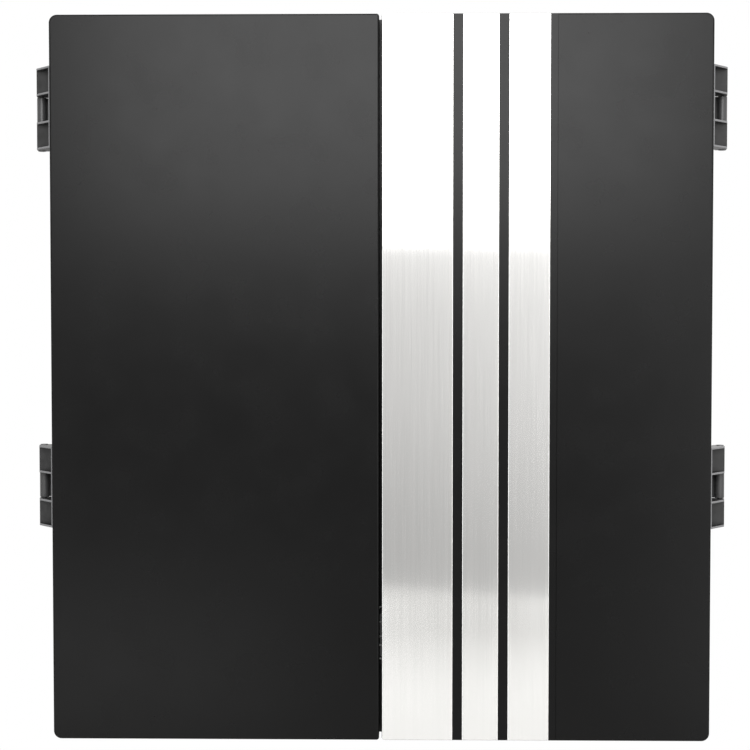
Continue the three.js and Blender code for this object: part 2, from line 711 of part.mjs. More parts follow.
/** A door: a tray open towards the case, with its knuckles and the block that holds its magnet. */
function doorShell(s) {
  const rough = extrudedY(doorOutline(s, 0), doorBack + 2 * doors.edge, doorFront, doors.edge);
  const behind = block(
    [-doors.width, doors.width], [doorBack, doorBack + doors.depth], [-doors.height, doors.height],
  );
  const hollow = extrudedY(doorOutline(s, doors.wall), doorBack + past, doorFront + doors.wall);
  const magnetDepth = magnet.depth + still;
  const holder = slab(
    s * magnetX, (magnetZ + halfHeight - overlap) / 2 - magnet.height / 4 - magnet.wall / 2,
    magnet.width + 2 * (still + magnet.wall),
    halfHeight - overlap - magnetZ + magnet.height / 2 + magnet.wall,
    [doorBack, doorBack - magnetDepth - magnet.wall],
  );
  const pocket = slab(
    s * magnetX, magnetZ, magnet.width + 2 * still, magnet.height + 2 * still,
    [doorBack + past, doorBack - magnetDepth],
  );
  const knuckles = hingeHeights.map((z) => doorKnuckles(s).translate([s * pinX, pinY, z]));
  return join([cut(rough, [behind, hollow]), holder.subtract(pocket), ...knuckles]).subtract(pocket);
}

/** The right door's shell, with the shallow channel that its strips lie in. */
function trimmedDoorShell() {
  const channel = block(
    [freeEdge - past, freeEdge + channelWidth],
    [doorFront - past, doorFront + channelDepth],
    [-halfHeight - past, halfHeight + past],
  );
  return doorShell(1).subtract(channel);
}

/** A strip of brushed aluminium, centred on its own width. */
const trimStrip = (width) => slab(0, 0, width, doors.height - 2 * still, [0, trim.thickness]);

/** A dart holder: a bar with three holes for the barrels above a shelf for the tips, on one back plate. */
function holderBody() {
  const back = doorFront + doors.wall + still;
  const top = dartHolder.height / 2;
  const holeY = back + dartHolder.back + dartHolder.reach / 2;
  const depths = [back, back + dartHolder.back + dartHolder.reach];
  const half = dartHolder.width / 2;
  const body = join([
    block([-half, half], [back, back + dartHolder.back], [-top, top]),
    block([-half, half], depths, [top - dartHolder.bar, top]),
    block([-half, half], depths, [-top, dartHolder.shelf - top]),
  ]);
  return cut(body, [-1, 0, 1].map((i) => barZ(
    i * dartHolder.pitch, holeY, dartHolder.holeRadius, [top - dartHolder.bar - past, top + past],
  )));
}

const magnetBlock = () =>
  slab(0, 0, magnet.width, magnet.height, [doorBack - still, doorBack - still - magnet.depth]);
const catchPlate = () => slab(
  0, 0, magnet.width + 2 * magnet.plateMargin, magnet.height + 2 * magnet.plateMargin,
  [caseFront - still, caseFront - still - magnet.plate],
);

const doorParts = new THREE.Group();
doorParts.add(
  piece('left_door', doorShell(-1), blackSatin),
  piece('right_door', trimmedDoorShell(), blackSatin),
);
for (const [side, s] of Object.entries(sides)) {
  doorParts.add(
    placed(s * doorMiddle, 0, dartHolder.z, piece(`dart_holder_${side}`, holderBody(), blackMatt)),
    placed(s * magnetX, 0, magnetZ, piece(`door_magnet_${side}`, magnetBlock(), steel)),
    placed(s * magnetX, 0, magnetZ, piece(`catch_plate_${side}`, catchPlate(), steel)),
  );
}
let stripStart = freeEdge + still;
['wide', 'middle', 'outer'].forEach((label, i) => {
  const width = trim.widths[i] - (i === 0 ? still : 0);
  const strip = piece(`trim_strip_${label}`, trimStrip(width), brushed);
  strip.position.set(stripStart + width / 2, doorFront + trim.bond, 0);
  doorParts.add(strip);
  stripStart += width + trim.groove;
});

// ---- The whole cabinet ------------------------------------------------------------------------

const cabinet = new THREE.Group();
cabinet.add(caseParts, targetParts, panelParts, inletParts, hingeParts, doorParts);

export default cabinet;
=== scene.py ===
"""Looks of the dart board cabinet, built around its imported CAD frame. Metres, +Z up, doors facing -Y."""
import json
import math

import bmesh
import bpy
from mathutils import Matrix, Vector


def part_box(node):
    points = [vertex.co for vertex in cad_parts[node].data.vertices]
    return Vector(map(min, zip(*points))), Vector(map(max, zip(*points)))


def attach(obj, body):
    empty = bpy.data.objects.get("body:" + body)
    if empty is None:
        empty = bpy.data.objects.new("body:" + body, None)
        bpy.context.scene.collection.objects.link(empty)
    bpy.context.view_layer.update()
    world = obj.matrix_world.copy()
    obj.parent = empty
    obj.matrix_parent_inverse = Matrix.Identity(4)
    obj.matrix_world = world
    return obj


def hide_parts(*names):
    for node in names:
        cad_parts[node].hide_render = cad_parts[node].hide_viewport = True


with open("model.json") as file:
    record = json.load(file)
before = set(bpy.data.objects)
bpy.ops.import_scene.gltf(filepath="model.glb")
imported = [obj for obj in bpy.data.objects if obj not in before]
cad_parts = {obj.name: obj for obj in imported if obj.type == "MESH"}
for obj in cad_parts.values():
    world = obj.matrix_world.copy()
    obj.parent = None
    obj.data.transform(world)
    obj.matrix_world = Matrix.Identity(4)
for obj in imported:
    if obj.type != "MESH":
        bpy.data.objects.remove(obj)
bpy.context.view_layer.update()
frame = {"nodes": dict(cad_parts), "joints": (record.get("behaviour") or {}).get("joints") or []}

MM = 0.001
SIDES = {"left": -1, "right": 1}

# ---- Places taken from the frame --------------------------------------------------------------

left_low, left_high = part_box("left_door")
case_low, case_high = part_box("front_housing")
ring_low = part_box("number_ring")[0]
spider_low, spider_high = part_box("target_spider")
lens_low, lens_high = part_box("display_lens")
hinge_joint = next(joint for joint in frame["joints"] if joint["child"] == "right_door")

DOOR_FRONT, DOOR_TOP, DOOR_BOTTOM = left_low.y, left_high.z, left_low.z
FREE_EDGE = -left_high.x
PIN_X, PIN_Y = hinge_joint["pos_m"][0], hinge_joint["pos_m"][1]
PIN_OFFSET = 11.3 * MM
DOOR_SIDE = PIN_X - PIN_OFFSET
DOOR_RIM = PIN_Y - 0.5 * MM
DOOR_WALL = 2.5 * MM
CASE_FRONT, CASE_SPLIT_FRONT = case_low.y, case_high.y
CASE_SIDE, CASE_TOP, CASE_BOTTOM = case_high.x, case_high.z, case_low.z
TARGET_Z = (spider_low.z + spider_high.z) / 2
PANEL_Z = (lens_low.z + lens_high.z) / 2



# ---- Camera -----------------------------------------------------------------------------------

def studio_camera():
    """The camera: in front of the doors, a little above and to the right of their middle, with a long lens."""
    data = bpy.data.cameras.new("camera")
    data.sensor_width = 36
    data.lens = 76.25
    camera = bpy.data.objects.new("camera", data)
    bpy.context.scene.collection.objects.link(camera)
    camera.location = (0.0163, DOOR_FRONT - 1.2, 0.0473)
    aim = Vector((-0.0041, DOOR_FRONT, 0.0036))
    camera.rotation_euler = (aim - camera.location).to_track_quat("-Z", "Y").to_euler()
    bpy.context.scene.camera = camera


studio_camera()


# ---- Mesh helpers -----------------------------------------------------------------------------

def new_object(name, verts, faces):
    """An object from vertices and faces, with its normals turned outwards."""
    mesh = bpy.data.meshes.new(name)
    mesh.from_pydata([tuple(v) for v in verts], [], faces)
    bm = bmesh.new()
    bm.from_mesh(mesh)
    bmesh.ops.remove_doubles(bm, verts=bm.verts, dist=1e-7)
    bmesh.ops.recalc_face_normals(bm, faces=bm.faces)
    bm.to_mesh(mesh)
    bm.free()
    obj = bpy.data.objects.new(name, mesh)
    bpy.context.scene.collection.objects.link(obj)
    return obj


def loft(name, loops, closed=False):
    """Quads between loops of equal length, with flat caps at the ends unless the loops close on themselves."""
    count = len(loops[0])
    verts = [point for loop in loops for point in loop]
    faces = []
    last = len(loops) if closed else len(loops) - 1
    for row in range(last):
        a, b = row * count, ((row + 1) % len(loops)) * count
        for i in range(count):
            j = (i + 1) % count
            faces.append((a + i, a + j, b + j, b + i))
    if not closed:
        faces.append(tuple(range(count)))
        faces.append(tuple((len(loops) - 1) * count + i for i in range(count)))
    return new_object(name, verts, faces)


def prism(name, outline, axis, low, high):
    """An outline extruded along an axis: x takes (y, z) points, y takes (x, z) and z takes (x, y)."""
    places = {
        "x": lambda p, t: (t, p[0], p[1]),
        "y": lambda p, t: (p[0], t, p[1]),
        "z": lambda p, t: (p[0], p[1], t),
    }
    return loft(name, [[places[axis](p, t) for p in outline] for t in (low, high)])


def block(name, low, high):
    """A box between two corners."""
    outline = [(low[0], low[1]), (high[0], low[1]), (high[0], high[1]), (low[0], high[1])]
    return prism(name, outline, "z", low[2], high[2])


def turned(name, profile, centre=(0, 0, 0), axis="y", steps=48):
    """A closed profile of (radius, place along the axis) points turned about an axis, closed at radius 0."""
    rows = [point for point in profile if point[0] > 0]
    loops = []
    for radius, t in rows:
        loop = []
        for i in range(steps):
            a = 2 * math.pi * i / steps
            u, v = radius * math.sin(a), radius * math.cos(a)
            point = {"x": (t, u, v), "y": (u, t, v), "z": (u, v, t)}[axis]
            loop.append(Vector(point) + Vector(centre))
        loops.append(loop)
    return loft(name, loops, closed=len(rows) == len(profile))


def arc(cx, cy, radius, start, end, steps):
    """Points on a circle from one angle to another, in degrees."""
    angles = [math.radians(start + (end - start) * i / steps) for i in range(steps + 1)]
    return [(cx + radius * math.cos(a), cy + radius * math.sin(a)) for a in angles]


def rounded_rectangle(x0, x1, z0, z1, radii, steps=8):
    """Corner arcs with a radius each: low x low z, high x low z, high x high z, low x high z."""
    a, b, c, d = radii
    return (
        arc(x0 + a, z0 + a, a, 180, 270, steps)
        + arc(x1 - b, z0 + b, b, 270, 360, steps)
        + arc(x1 - c, z1 - c, c, 0, 90, steps)
        + arc(x0 + d, z1 - d, d, 90, 180, steps)
    )


def circle(cx, cz, radius, steps=48):
    """A closed circle of points."""
    return arc(cx, cz, radius, 0, 360 - 360 / steps, steps - 1)


def apply_modifiers(obj):
    """Replaces an object's mesh by what its modifiers make of it."""
    graph = bpy.context.evaluated_depsgraph_get()
    graph.update()
    mesh = bpy.data.meshes.new_from_object(obj.evaluated_get(graph))
    obj.modifiers.clear()
    obj.data = mesh
    return obj


def combine(obj, tools, operation):
    """Joins or cuts an object with others, which are used up."""
    for tool in tools:
        modifier = obj.modifiers.new("combine", "BOOLEAN")
        modifier.operation = operation
        modifier.solver = "EXACT"
        modifier.object = tool
        apply_modifiers(obj)
        bpy.data.objects.remove(tool)
    return obj


def union(obj, *tools):
    return combine(obj, tools, "UNION")


def cut(obj, *tools):
    return combine(obj, tools, "DIFFERENCE")


def bevelled(obj, width, segments=2, angle=30):
    """Rounds the edges that turn by more than an angle."""
    modifier = obj.modifiers.new("bevel", "BEVEL")
    modifier.width = width
    modifier.segments = segments
    modifier.limit_method = "ANGLE"
    modifier.angle_limit = math.radians(angle)
    return apply_modifiers(obj)


def joined(name, objects):
    """One object holding the meshes of several, which are used up."""
    bm = bmesh.new()
    for obj in objects:
        bm.from_mesh(obj.data)
    mesh = bpy.data.meshes.new(name)
    bm.to_mesh(mesh)
    bm.free()
    for obj in objects:
        bpy.data.objects.remove(obj)
    result = bpy.data.objects.new(name, mesh)
    bpy.context.scene.collection.objects.link(result)
    return result


def smooth(obj, angle=32):
    """Smooth shading that keeps the edges sharper than an angle, with normals weighted by face area."""
    bm = bmesh.new()
    bm.from_mesh(obj.data)
    limit = math.radians(angle)
    for face in bm.faces:
        face.smooth = True
    for edge in bm.edges:
        edge.smooth = len(edge.link_faces) == 2 and edge.calc_face_angle(0) < limit
    bm.to_mesh(obj.data)
    bm.free()
    weighted = obj.modifiers.new("normals", "WEIGHTED_NORMAL")
    weighted.keep_sharp = True


def finished(obj, name, body, material, replaces=(), angle=32):
    """A finished piece: smooth, with its material, riding on its body and standing for CAD nodes."""
    obj.name = obj.data.name = name
    smooth(obj, angle)
    obj.data.materials.clear()
    obj.data.materials.append(material)
    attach(obj, body)
    if replaces:
        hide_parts(*replaces)
    return obj


# ---- Materials --------------------------------------------------------------------------------

def material_nodes(name):
    """A new material with its node tree and its shader."""
    material = bpy.data.materials.new(name)
    material.use_nodes = True
    return material, material.node_tree, material.node_tree.nodes["Principled BSDF"]


def noise(tree, scale, detail=3, stretch=(1, 1, 1)):
    """Noise over the object, with its cells per metre and a stretch on each axis."""
    coords = tree.nodes.new("ShaderNodeTexCoord")
    mapping = tree.nodes.new("ShaderNodeMapping")
    mapping.inputs["Scale"].default_value = stretch
    texture = tree.nodes.new("ShaderNodeTexNoise")
    texture.inputs["Scale"].default_value = scale
    texture.inputs["Detail"].default_value = detail
    tree.links.new(coords.outputs["Object"], mapping.inputs["Vector"])
    tree.links.new(mapping.outputs["Vector"], texture.inputs["Vector"])
    return texture.outputs["Fac"]


def ramped(tree, source, low, high):
    """A value run between two levels as noise passes through the middle of its range."""
    node = tree.nodes.new("ShaderNodeMapRange")
    node.inputs["From Min"].default_value = 0.3
    node.inputs["From Max"].default_value = 0.7
    node.inputs["To Min"].default_value = low
    node.inputs["To Max"].default_value = high
    tree.links.new(source, node.inputs["Value"])
    return node.outputs["Result"]


def tinted(tree, source, dark, light):
    """A colour run between two tints as noise passes through the middle of its range."""
    ramp = tree.nodes.new("ShaderNodeValToRGB")
    low, high = ramp.color_ramp.elements
    low.position, high.position = 0.3, 0.7
    low.color, high.color = (*dark, 1), (*light, 1)
    tree.links.new(source, ramp.inputs["Fac"])
    return ramp.outputs["Color"]


def bumped(tree, shader, height, distance):
    """Surface relief from a height between 0 and 1, over a real distance."""
    bump = tree.nodes.new("ShaderNodeBump")
    bump.inputs["Distance"].default_value = distance
    tree.links.new(height, bump.inputs["Height"])
    tree.links.new(bump.outputs["Normal"], shader.inputs["Normal"])


def moulded_plastic(name, colour, roughness, specular=0.5, grain=0.006 * MM, cells=2600):
    """Moulded plastic: a fine spark-eroded grain, faint flow shading and uneven gloss."""
    material, tree, shader = material_nodes(name)
    shader.inputs["Specular IOR Level"].default_value = specular
    flow = tinted(tree, noise(tree, 9, 4), [c * 0.93 for c in colour], [c * 1.07 for c in colour])
    tree.links.new(flow, shader.inputs["Base Color"])
    gloss = ramped(tree, noise(tree, 30, 5), roughness - 0.02, roughness + 0.02)
    tree.links.new(gloss, shader.inputs["Roughness"])
    bumped(tree, shader, noise(tree, cells, 2), grain)
    return material


def brushed_metal(name, colour, roughness, across, depth, contrast):
    """Metal brushed along Z: long fine scratches that spread reflections across them."""
    material, tree, shader = material_nodes(name)
    shader.inputs["Metallic"].default_value = 1
    shader.inputs["Anisotropic"].default_value = across
    fine = noise(tree, 3300, 2, (1, 1, 0.006))
    broad = noise(tree, 900, 4, (1, 1, 0.012))
    blend = tree.nodes.new("ShaderNodeMix")
    blend.inputs["Factor"].default_value = 0.5
    tree.links.new(fine, blend.inputs["A"])
    tree.links.new(broad, blend.inputs["B"])
    streaks = blend.outputs["Result"]
    dark, light = [c * (1 - contrast) for c in colour], [min(c * (1 + contrast), 1) for c in colour]
    tint = tinted(tree, streaks, dark, light)
    tree.links.new(tint, shader.inputs["Base Color"])
    tree.links.new(ramped(tree, streaks, roughness - 0.02, roughness + 0.02), shader.inputs["Roughness"])
    bumped(tree, shader, fine, depth)
    sideways = tree.nodes.new("ShaderNodeCombineXYZ")
    sideways.inputs["X"].default_value = 1
    turn = tree.nodes.new("ShaderNodeVectorTransform")
    turn.vector_type, turn.convert_from, turn.convert_to = "VECTOR", "OBJECT", "WORLD"
    tree.links.new(sideways.outputs["Vector"], turn.inputs["Vector"])
    tree.links.new(turn.outputs["Vector"], shader.inputs["Tangent"])
    return material


def plain_metal(name, colour, roughness):
    """Plated steel, with a fine uneven surface."""
    material, tree, shader = material_nodes(name)
    shader.inputs["Metallic"].default_value = 1
    tint = tinted(tree, noise(tree, 400, 4), [c * 0.92 for c in colour], [min(c * 1.05, 1) for c in colour])
    tree.links.new(tint, shader.inputs["Base Color"])
    gloss = ramped(tree, noise(tree, 900, 4), roughness - 0.06, roughness + 0.06)
    tree.links.new(gloss, shader.inputs["Roughness"])
    bumped(tree, shader, noise(tree, 1500, 3), 0.004 * MM)
    return material


def speckled(name, dark, light, roughness, cells, relief):
    """A grainy solid, such as foam or hardboard."""
    material, tree, shader = material_nodes(name)
    grain = noise(tree, cells, 5)
    tree.links.new(tinted(tree, grain, dark, light), shader.inputs["Base Color"])
    tree.links.new(ramped(tree, grain, roughness - 0.05, roughness + 0.05), shader.inputs["Roughness"])
    bumped(tree, shader, grain, relief)
    return material


def perforated(name, colour):
    """Moulded plastic covered in the small holes that take a soft dart's tip, drawn with a bump and painted
    nearly black inside as painted shade.
    """
    material = moulded_plastic(name, colour, 0.42)
    tree = material.node_tree
    shader = tree.nodes["Principled BSDF"]
    split = tree.nodes.new("ShaderNodeSeparateXYZ")
    flat = tree.nodes.new("ShaderNodeCombineXYZ")
    holes = tree.nodes.new("ShaderNodeTexVoronoi")
    holes.voronoi_dimensions = "2D"
    holes.inputs["Scale"].default_value = 1 / (3.2 * MM)
    holes.inputs["Randomness"].default_value = 0
    coords = tree.nodes.new("ShaderNodeTexCoord")
    tree.links.new(coords.outputs["Object"], split.inputs["Vector"])
    tree.links.new(split.outputs["X"], flat.inputs["X"])
    tree.links.new(split.outputs["Z"], flat.inputs["Y"])
    tree.links.new(flat.outputs["Vector"], holes.inputs["Vector"])
    solid = tree.nodes.new("ShaderNodeMapRange")
    solid.inputs["From Min"].default_value = 0.24
    solid.inputs["From Max"].default_value = 0.34
    tree.links.new(holes.outputs["Distance"], solid.inputs["Value"])
    # Inside each hole the colour drops to 4%: painted shade in the holes.
    shade = tree.nodes.new("ShaderNodeMix")
    shade.data_type = "RGBA"
    shade.inputs["A"].default_value = (*[c * 0.04 for c in colour], 1)
    tree.links.new(solid.outputs["Result"], shade.inputs["Factor"])
    tree.links.new(shader.inputs["Base Color"].links[0].from_socket, shade.inputs["B"])
    tree.links.new(shade.outputs["Result"], shader.inputs["Base Color"])
    bumped(tree, shader, solid.outputs["Result"], 0.6 * MM)
    return material


SATIN = moulded_plastic("satin_black", (0.0012, 0.0012, 0.00125), 0.265, specular=0.175)
MATT = moulded_plastic("matt_black", (0.014, 0.0142, 0.0148), 0.5, 0.4, 0.02 * MM, 1800)
HINGE = moulded_plastic("hinge_black", (0.012, 0.012, 0.0123), 0.34, 0.3, 0.01 * MM, 2200)
# The brackets' black plastic painted lighter than the hinge black to show light falling on the barrel: painted
# light.
BARREL_BLACK_PAINTED_LIT = moulded_plastic("hinge_barrel_painted_lit", (0.045, 0.045, 0.046), 0.36, 0.4, 0.01 * MM, 2200)
POCKET = speckled("hinge_pocket", (0.005, 0.005, 0.0052), (0.018, 0.018, 0.0185), 0.5, 180, 0.02 * MM)
# Pale grey for the hinge webs' front edges: a painted highlight where light catches them, not the plastic's
# own colour.
HINGE_EDGE_PAINTED_HIGHLIGHT = moulded_plastic("hinge_edge_painted_highlight", (0.16, 0.16, 0.165), 0.5, 0.4, 0.01 * MM, 2200)
ALUMINIUM = brushed_metal("brushed_aluminium", (0.90, 0.895, 0.885), 0.1, 1.0, 0.0008 * MM, 0.03)
CUT_EDGE = plain_metal("bright_cut_edge", (0.95, 0.95, 0.94), 0.6)
STEEL = plain_metal("plated_steel", (0.58, 0.58, 0.59), 0.3)
BLACKENED = plain_metal("blackened_steel", (0.16, 0.16, 0.165), 0.35)
RED = perforated("segment_red", (0.50, 0.028, 0.032))
GREEN = perforated("segment_green", (0.018, 0.19, 0.075))
CREAM = perforated("segment_cream", (0.70, 0.64, 0.50))
DARK = perforated("segment_black", (0.018, 0.018, 0.019))
WHITE = moulded_plastic("white_numbers", (0.6, 0.6, 0.585), 0.5)
SILICONE = moulded_plastic("silicone_grey", (0.12, 0.124, 0.13), 0.62)
GLASS_DARK = moulded_plastic("smoked_window", (0.012, 0.014, 0.014), 0.06, 0.5, 0.0005 * MM)
FOAM = speckled("closed_cell_foam", (0.018, 0.018, 0.019), (0.05, 0.05, 0.052), 0.9, 1500, 0.2 * MM)
HARDBOARD = speckled("hardboard", (0.17, 0.10, 0.05), (0.32, 0.21, 0.12), 0.75, 700, 0.05 * MM)
CIRCUIT = speckled("circuit_board", (0.012, 0.09, 0.035), (0.02, 0.15, 0.06), 0.35, 260, 0.02 * MM)
FILM = speckled("sensor_film", (0.50, 0.45, 0.31), (0.60, 0.55, 0.41), 0.3, 90, 0.01 * MM)


# ---- Doors ------------------------------------------------------------------------------------

DOOR_CORNER, FREE_CORNER, DOOR_FILLET = 6 * MM, 2 * MM, 1.5 * MM
TRIMS = ["trim_strip_wide", "trim_strip_middle", "trim_strip_outer"]
TRIM_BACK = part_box(TRIMS[0])[1].y + 0.1 * MM
CHANNEL_BORDER = 5.7 * MM
RIB = 1.6 * MM


def door_loop(side, inset, depth):
    """A door's outline at a depth, moved in by an inset."""
    outer = max(DOOR_CORNER - inset, 0.6 * MM)
    free = max(FREE_CORNER - inset, 0.4 * MM)
    near, far = FREE_EDGE + inset, DOOR_SIDE - inset
    bottom, top = DOOR_BOTTOM + inset, DOOR_TOP - inset
    if side > 0:
        points = rounded_rectangle(near, far, bottom, top, (free, outer, outer, free))
    else:
        points = rounded_rectangle(-far, -near, bottom, top, (outer, free, free, outer))
    return [(x, depth, z) for x, z in points]


def door_shell(side):
    """A moulded tray with a rounded front edge, a softened rim and a filleted inside."""
    loops = []
    for i in range(7):
        a = math.radians(15 * i)
        depth = DOOR_FRONT + DOOR_FILLET * (1 - math.cos(a))
        loops.append(door_loop(side, DOOR_FILLET * (1 - math.sin(a)), depth))
    lip = 0.4 * MM
    loops.append(door_loop(side, 0, DOOR_RIM - lip))
    loops.append(door_loop(side, lip, DOOR_RIM))
    loops.append(door_loop(side, DOOR_WALL - lip, DOOR_RIM))
    loops.append(door_loop(side, DOOR_WALL, DOOR_RIM - lip))
    inner = DOOR_FRONT + DOOR_WALL
    for i in range(5):
        a = math.radians(22.5 * i)
        inset = DOOR_WALL + DOOR_FILLET * (1 - math.cos(a))
        loops.append(door_loop(side, inset, inner + DOOR_FILLET * (1 - math.sin(a))))
    return loft("door", loops)


def strip_channel():
    """The cutter for the shallow channel that the strips lie in, open at the door's free edge and ends."""
    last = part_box(TRIMS[-1])[1].x
    return block(
        "channel",
        (FREE_EDGE - 5 * MM, DOOR_FRONT - 5 * MM, DOOR_BOTTOM - 5 * MM),
        (last + CHANNEL_BORDER, TRIM_BACK, DOOR_TOP + 5 * MM),
    )


def inner_ribs(side):
    """Stiffening ribs on the inside of a door's panel, above and below the dart holder."""
    floor = DOOR_FRONT + DOOR_WALL
    near, far = FREE_EDGE + DOOR_WALL / 2, DOOR_SIDE - DOOR_WALL / 2
    x0, x1 = sorted((side * near, side * far))
    ribs = []
    for z in (-215 * MM, -140 * MM, 40 * MM, 130 * MM, 220 * MM):
        ribs.append(block("rib", (x0, floor - MM / 2, z - RIB / 2), (x1, floor + 4 * MM, z + RIB / 2)))
    for share in (0.06, 0.94):
        x = side * (near + (far - near) * share)
        ribs.append(block(
            "rib",
            (x - RIB / 2, floor - MM / 2, DOOR_BOTTOM + DOOR_WALL / 2),
            (x + RIB / 2, floor + 3 * MM, DOOR_TOP - DOOR_WALL / 2),
        ))
    return ribs


def magnet_holder(side_name):
    """The block that holds a door's magnet, and the pocket cut in it."""
    low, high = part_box(f"door_magnet_{side_name}")
    wall, ease = 2 * MM, 0.3 * MM
    out = Vector((ease + wall, ease + wall, wall))
    body = block("holder", low - out, (high.x + ease + wall, DOOR_RIM - 0.05 * MM, DOOR_TOP - 0.5 * MM))
    pocket = block("pocket", low - Vector((ease, ease, ease)), (high.x + ease, DOOR_RIM + MM, high.z + ease))
    return bevelled(body, 0.3 * MM), pocket


def closing_lip():
    """The left door's lip behind the gap between the doors, open in front of the display."""
    inner, outer = -FREE_EDGE - DOOR_WALL / 2, FREE_EDGE - 0.3 * MM
    front, back = DOOR_RIM - 2.4 * MM, DOOR_RIM - 0.1 * MM
    ends = [(DOOR_BOTTOM + 0.4 * MM, PANEL_Z - 25 * MM), (PANEL_Z + 29 * MM, DOOR_TOP - 0.4 * MM)]
    return [block("lip", (inner, front, low), (outer, back, high)) for low, high in ends]


for side_name, side in SIDES.items():
    door = door_shell(side)
    if side > 0:
        cut(door, strip_channel())
    else:
        union(door, *closing_lip())
    holder, pocket = magnet_holder(side_name)
    union(door, *inner_ribs(side), holder)
    cut(door, pocket)
    finished(door, f"{side_name}_door_shell", f"{side_name}_door", SATIN, [f"{side_name}_door"])
    low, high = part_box(f"door_magnet_{side_name}")
    magnet = bevelled(block("magnet", low, high), 0.3 * MM)
    finished(magnet, f"{side_name}_magnet_ground", f"{side_name}_door", STEEL,
             [f"door_magnet_{side_name}"])
    low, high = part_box(f"catch_plate_{side_name}")
    plate = bevelled(block("plate", low, high), 0.2 * MM)
    finished(plate, f"{side_name}_catch_stamped", "case", STEEL, [f"catch_plate_{side_name}"])

for name in TRIMS:
    strip = bevelled(block("strip", *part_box(name)), 0.45 * MM, 3)
    finished(strip, f"{name}_brushed", "right_door", ALUMINIUM, [name], angle=60)
    strip.data.materials.append(CUT_EDGE)
    for face in strip.data.polygons:
        if 0.15 < abs(face.normal.x) < 0.99 and face.normal.y < -0.1:
            face.material_index = 1


# ---- Dart holders -----------------------------------------------------------------------------

def dart_holder(side_name):
    """A moulded rack: a back plate, a bar with three holes for barrels and a shelf for the tips."""
    low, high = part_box(f"dart_holder_{side_name}")
    back, bar, shelf, edge = 2 * MM, 8 * MM, 4 * MM, 0.6 * MM
    x = (low.x + high.x) / 2
    y = (low.y + back + high.y) / 2
    body = block("holder", low, (high.x, low.y + back, high.z))
    rail = bevelled(block("bar", (low.x, low.y + back / 2, high.z - bar), high), edge, 3)
    tray = bevelled(block("shelf", (low.x, low.y + back / 2, low.z), (high.x, high.y, low.z + shelf)), edge, 3)
    union(body, rail, tray)
    holes, dimples = [], []
    for i in (-1, 0, 1):
        centre = (x + i * 32 * MM, y, 0)
        hole = 4.2 * MM
        flare = 5 * MM
        holes.append(turned("hole", [
            (0, high.z - bar - MM), (hole, high.z - bar - MM), (hole, high.z - 0.8 * MM),
            (flare, high.z + 0.01 * MM), (flare, high.z + MM), (0, high.z + MM),
        ], centre, "z", 32))
        dimples.append(turned("dimple", [
            (0, low.z + shelf - 1.5 * MM), (2 * MM, low.z + shelf - 1.2 * MM), (3 * MM, low.z + shelf + MM),
            (0, low.z + shelf + MM),
        ], centre, "z", 32))
    return cut(body, *holes, *dimples)


for side_name in SIDES:
    finished(dart_holder(side_name), f"dart_holder_{side_name}_moulded", f"{side_name}_door", MATT,
             [f"dart_holder_{side_name}"])


# ---- Screws -----------------------------------------------------------------------------------

def screw(radius, height, shank, length, steps=32):
    """A pan head screw along -Y with a cross recess: its head's underside at the origin."""
    body = turned("screw", [
        (0, -length), (shank * 0.3, -length), (shank, -length + 2 * shank), (shank, 0), (radius, 0),
        (radius, height * 0.45), (radius * 0.9, height * 0.75), (radius * 0.68, height * 0.93),
        (radius * 0.3, height), (0, height),
    ], steps=steps)
    arm, width = radius * 0.55, radius * 0.16
    bottom, top = height * 0.35, height + MM
    for reach in ((arm, width), (width, arm)):
        x, z = reach
        tip = 0.45
        slot = loft("slot", [
            [(-x * s, depth, -z * s), (x * s, depth, -z * s), (x * s, depth, z * s), (-x * s, depth, z * s)]
            for s, depth in ((tip, bottom), (1.25, top))
        ])
        cut(body, slot)
    return body


case_screw = screw(3.6 * MM, 2.2 * MM, 1.5 * MM, 14 * MM)
for i in range(1, 5):
    name = f"case_screw_{i}"
    low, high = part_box(name)
    centre = ((low.x + high.x) / 2, high.y - 2.2 * MM, (low.z + high.z) / 2)
    copy = bpy.data.objects.new(name, case_screw.data.copy())
    bpy.context.scene.collection.objects.link(copy)
    copy.data.transform(Matrix.Translation(centre))
    finished(copy, f"{name}_crosshead", "case", STEEL, [name])
bpy.data.objects.remove(case_screw)

bracket_screw = screw(3 * MM, 1.6 * MM, 1.5 * MM, 9 * MM)
for level in ("upper", "lower"):
    for side_name, side in SIDES.items():
        for end in ("low", "high"):
            name = f"bracket_screw_{level}_{side_name}_{end}"
            low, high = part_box(name)
            underside = high.x - 1.6 * MM if side > 0 else low.x + 1.6 * MM
            turn = Matrix.Rotation(-side * math.pi / 2, 4, "Z")
            place = Matrix.Translation((underside, (low.y + high.y) / 2, (low.z + high.z) / 2))
            copy = bpy.data.objects.new(name, bracket_screw.data.copy())
            bpy.context.scene.collection.objects.link(copy)
            copy.data.transform(place @ turn)
            finished(copy, f"{name}_crosshead", "case", BLACKENED, [name])
bpy.data.objects.remove(bracket_screw)


# ---- Hinges -----------------------------------------------------------------------------------

KNUCKLE_RADIUS, WEB, HINGE_RIB = 3.7 * MM, 1.6 * MM, 1.2 * MM
KNUCKLE, BARREL, END_PLAY = 20.9 * MM, 20.1 * MM, 0.4 * MM
WEB_ROOT = PIN_Y - DOOR_FRONT - 3.5 * MM
NOSE, LEAN, FLOOR_ROOT, FLOOR_NOSE = 9 * MM, 1.5 * MM, 9.5 * MM, 5 * MM
HINGES = [f"{level}_{side_name}" for level in ("upper", "lower") for side_name in SIDES]


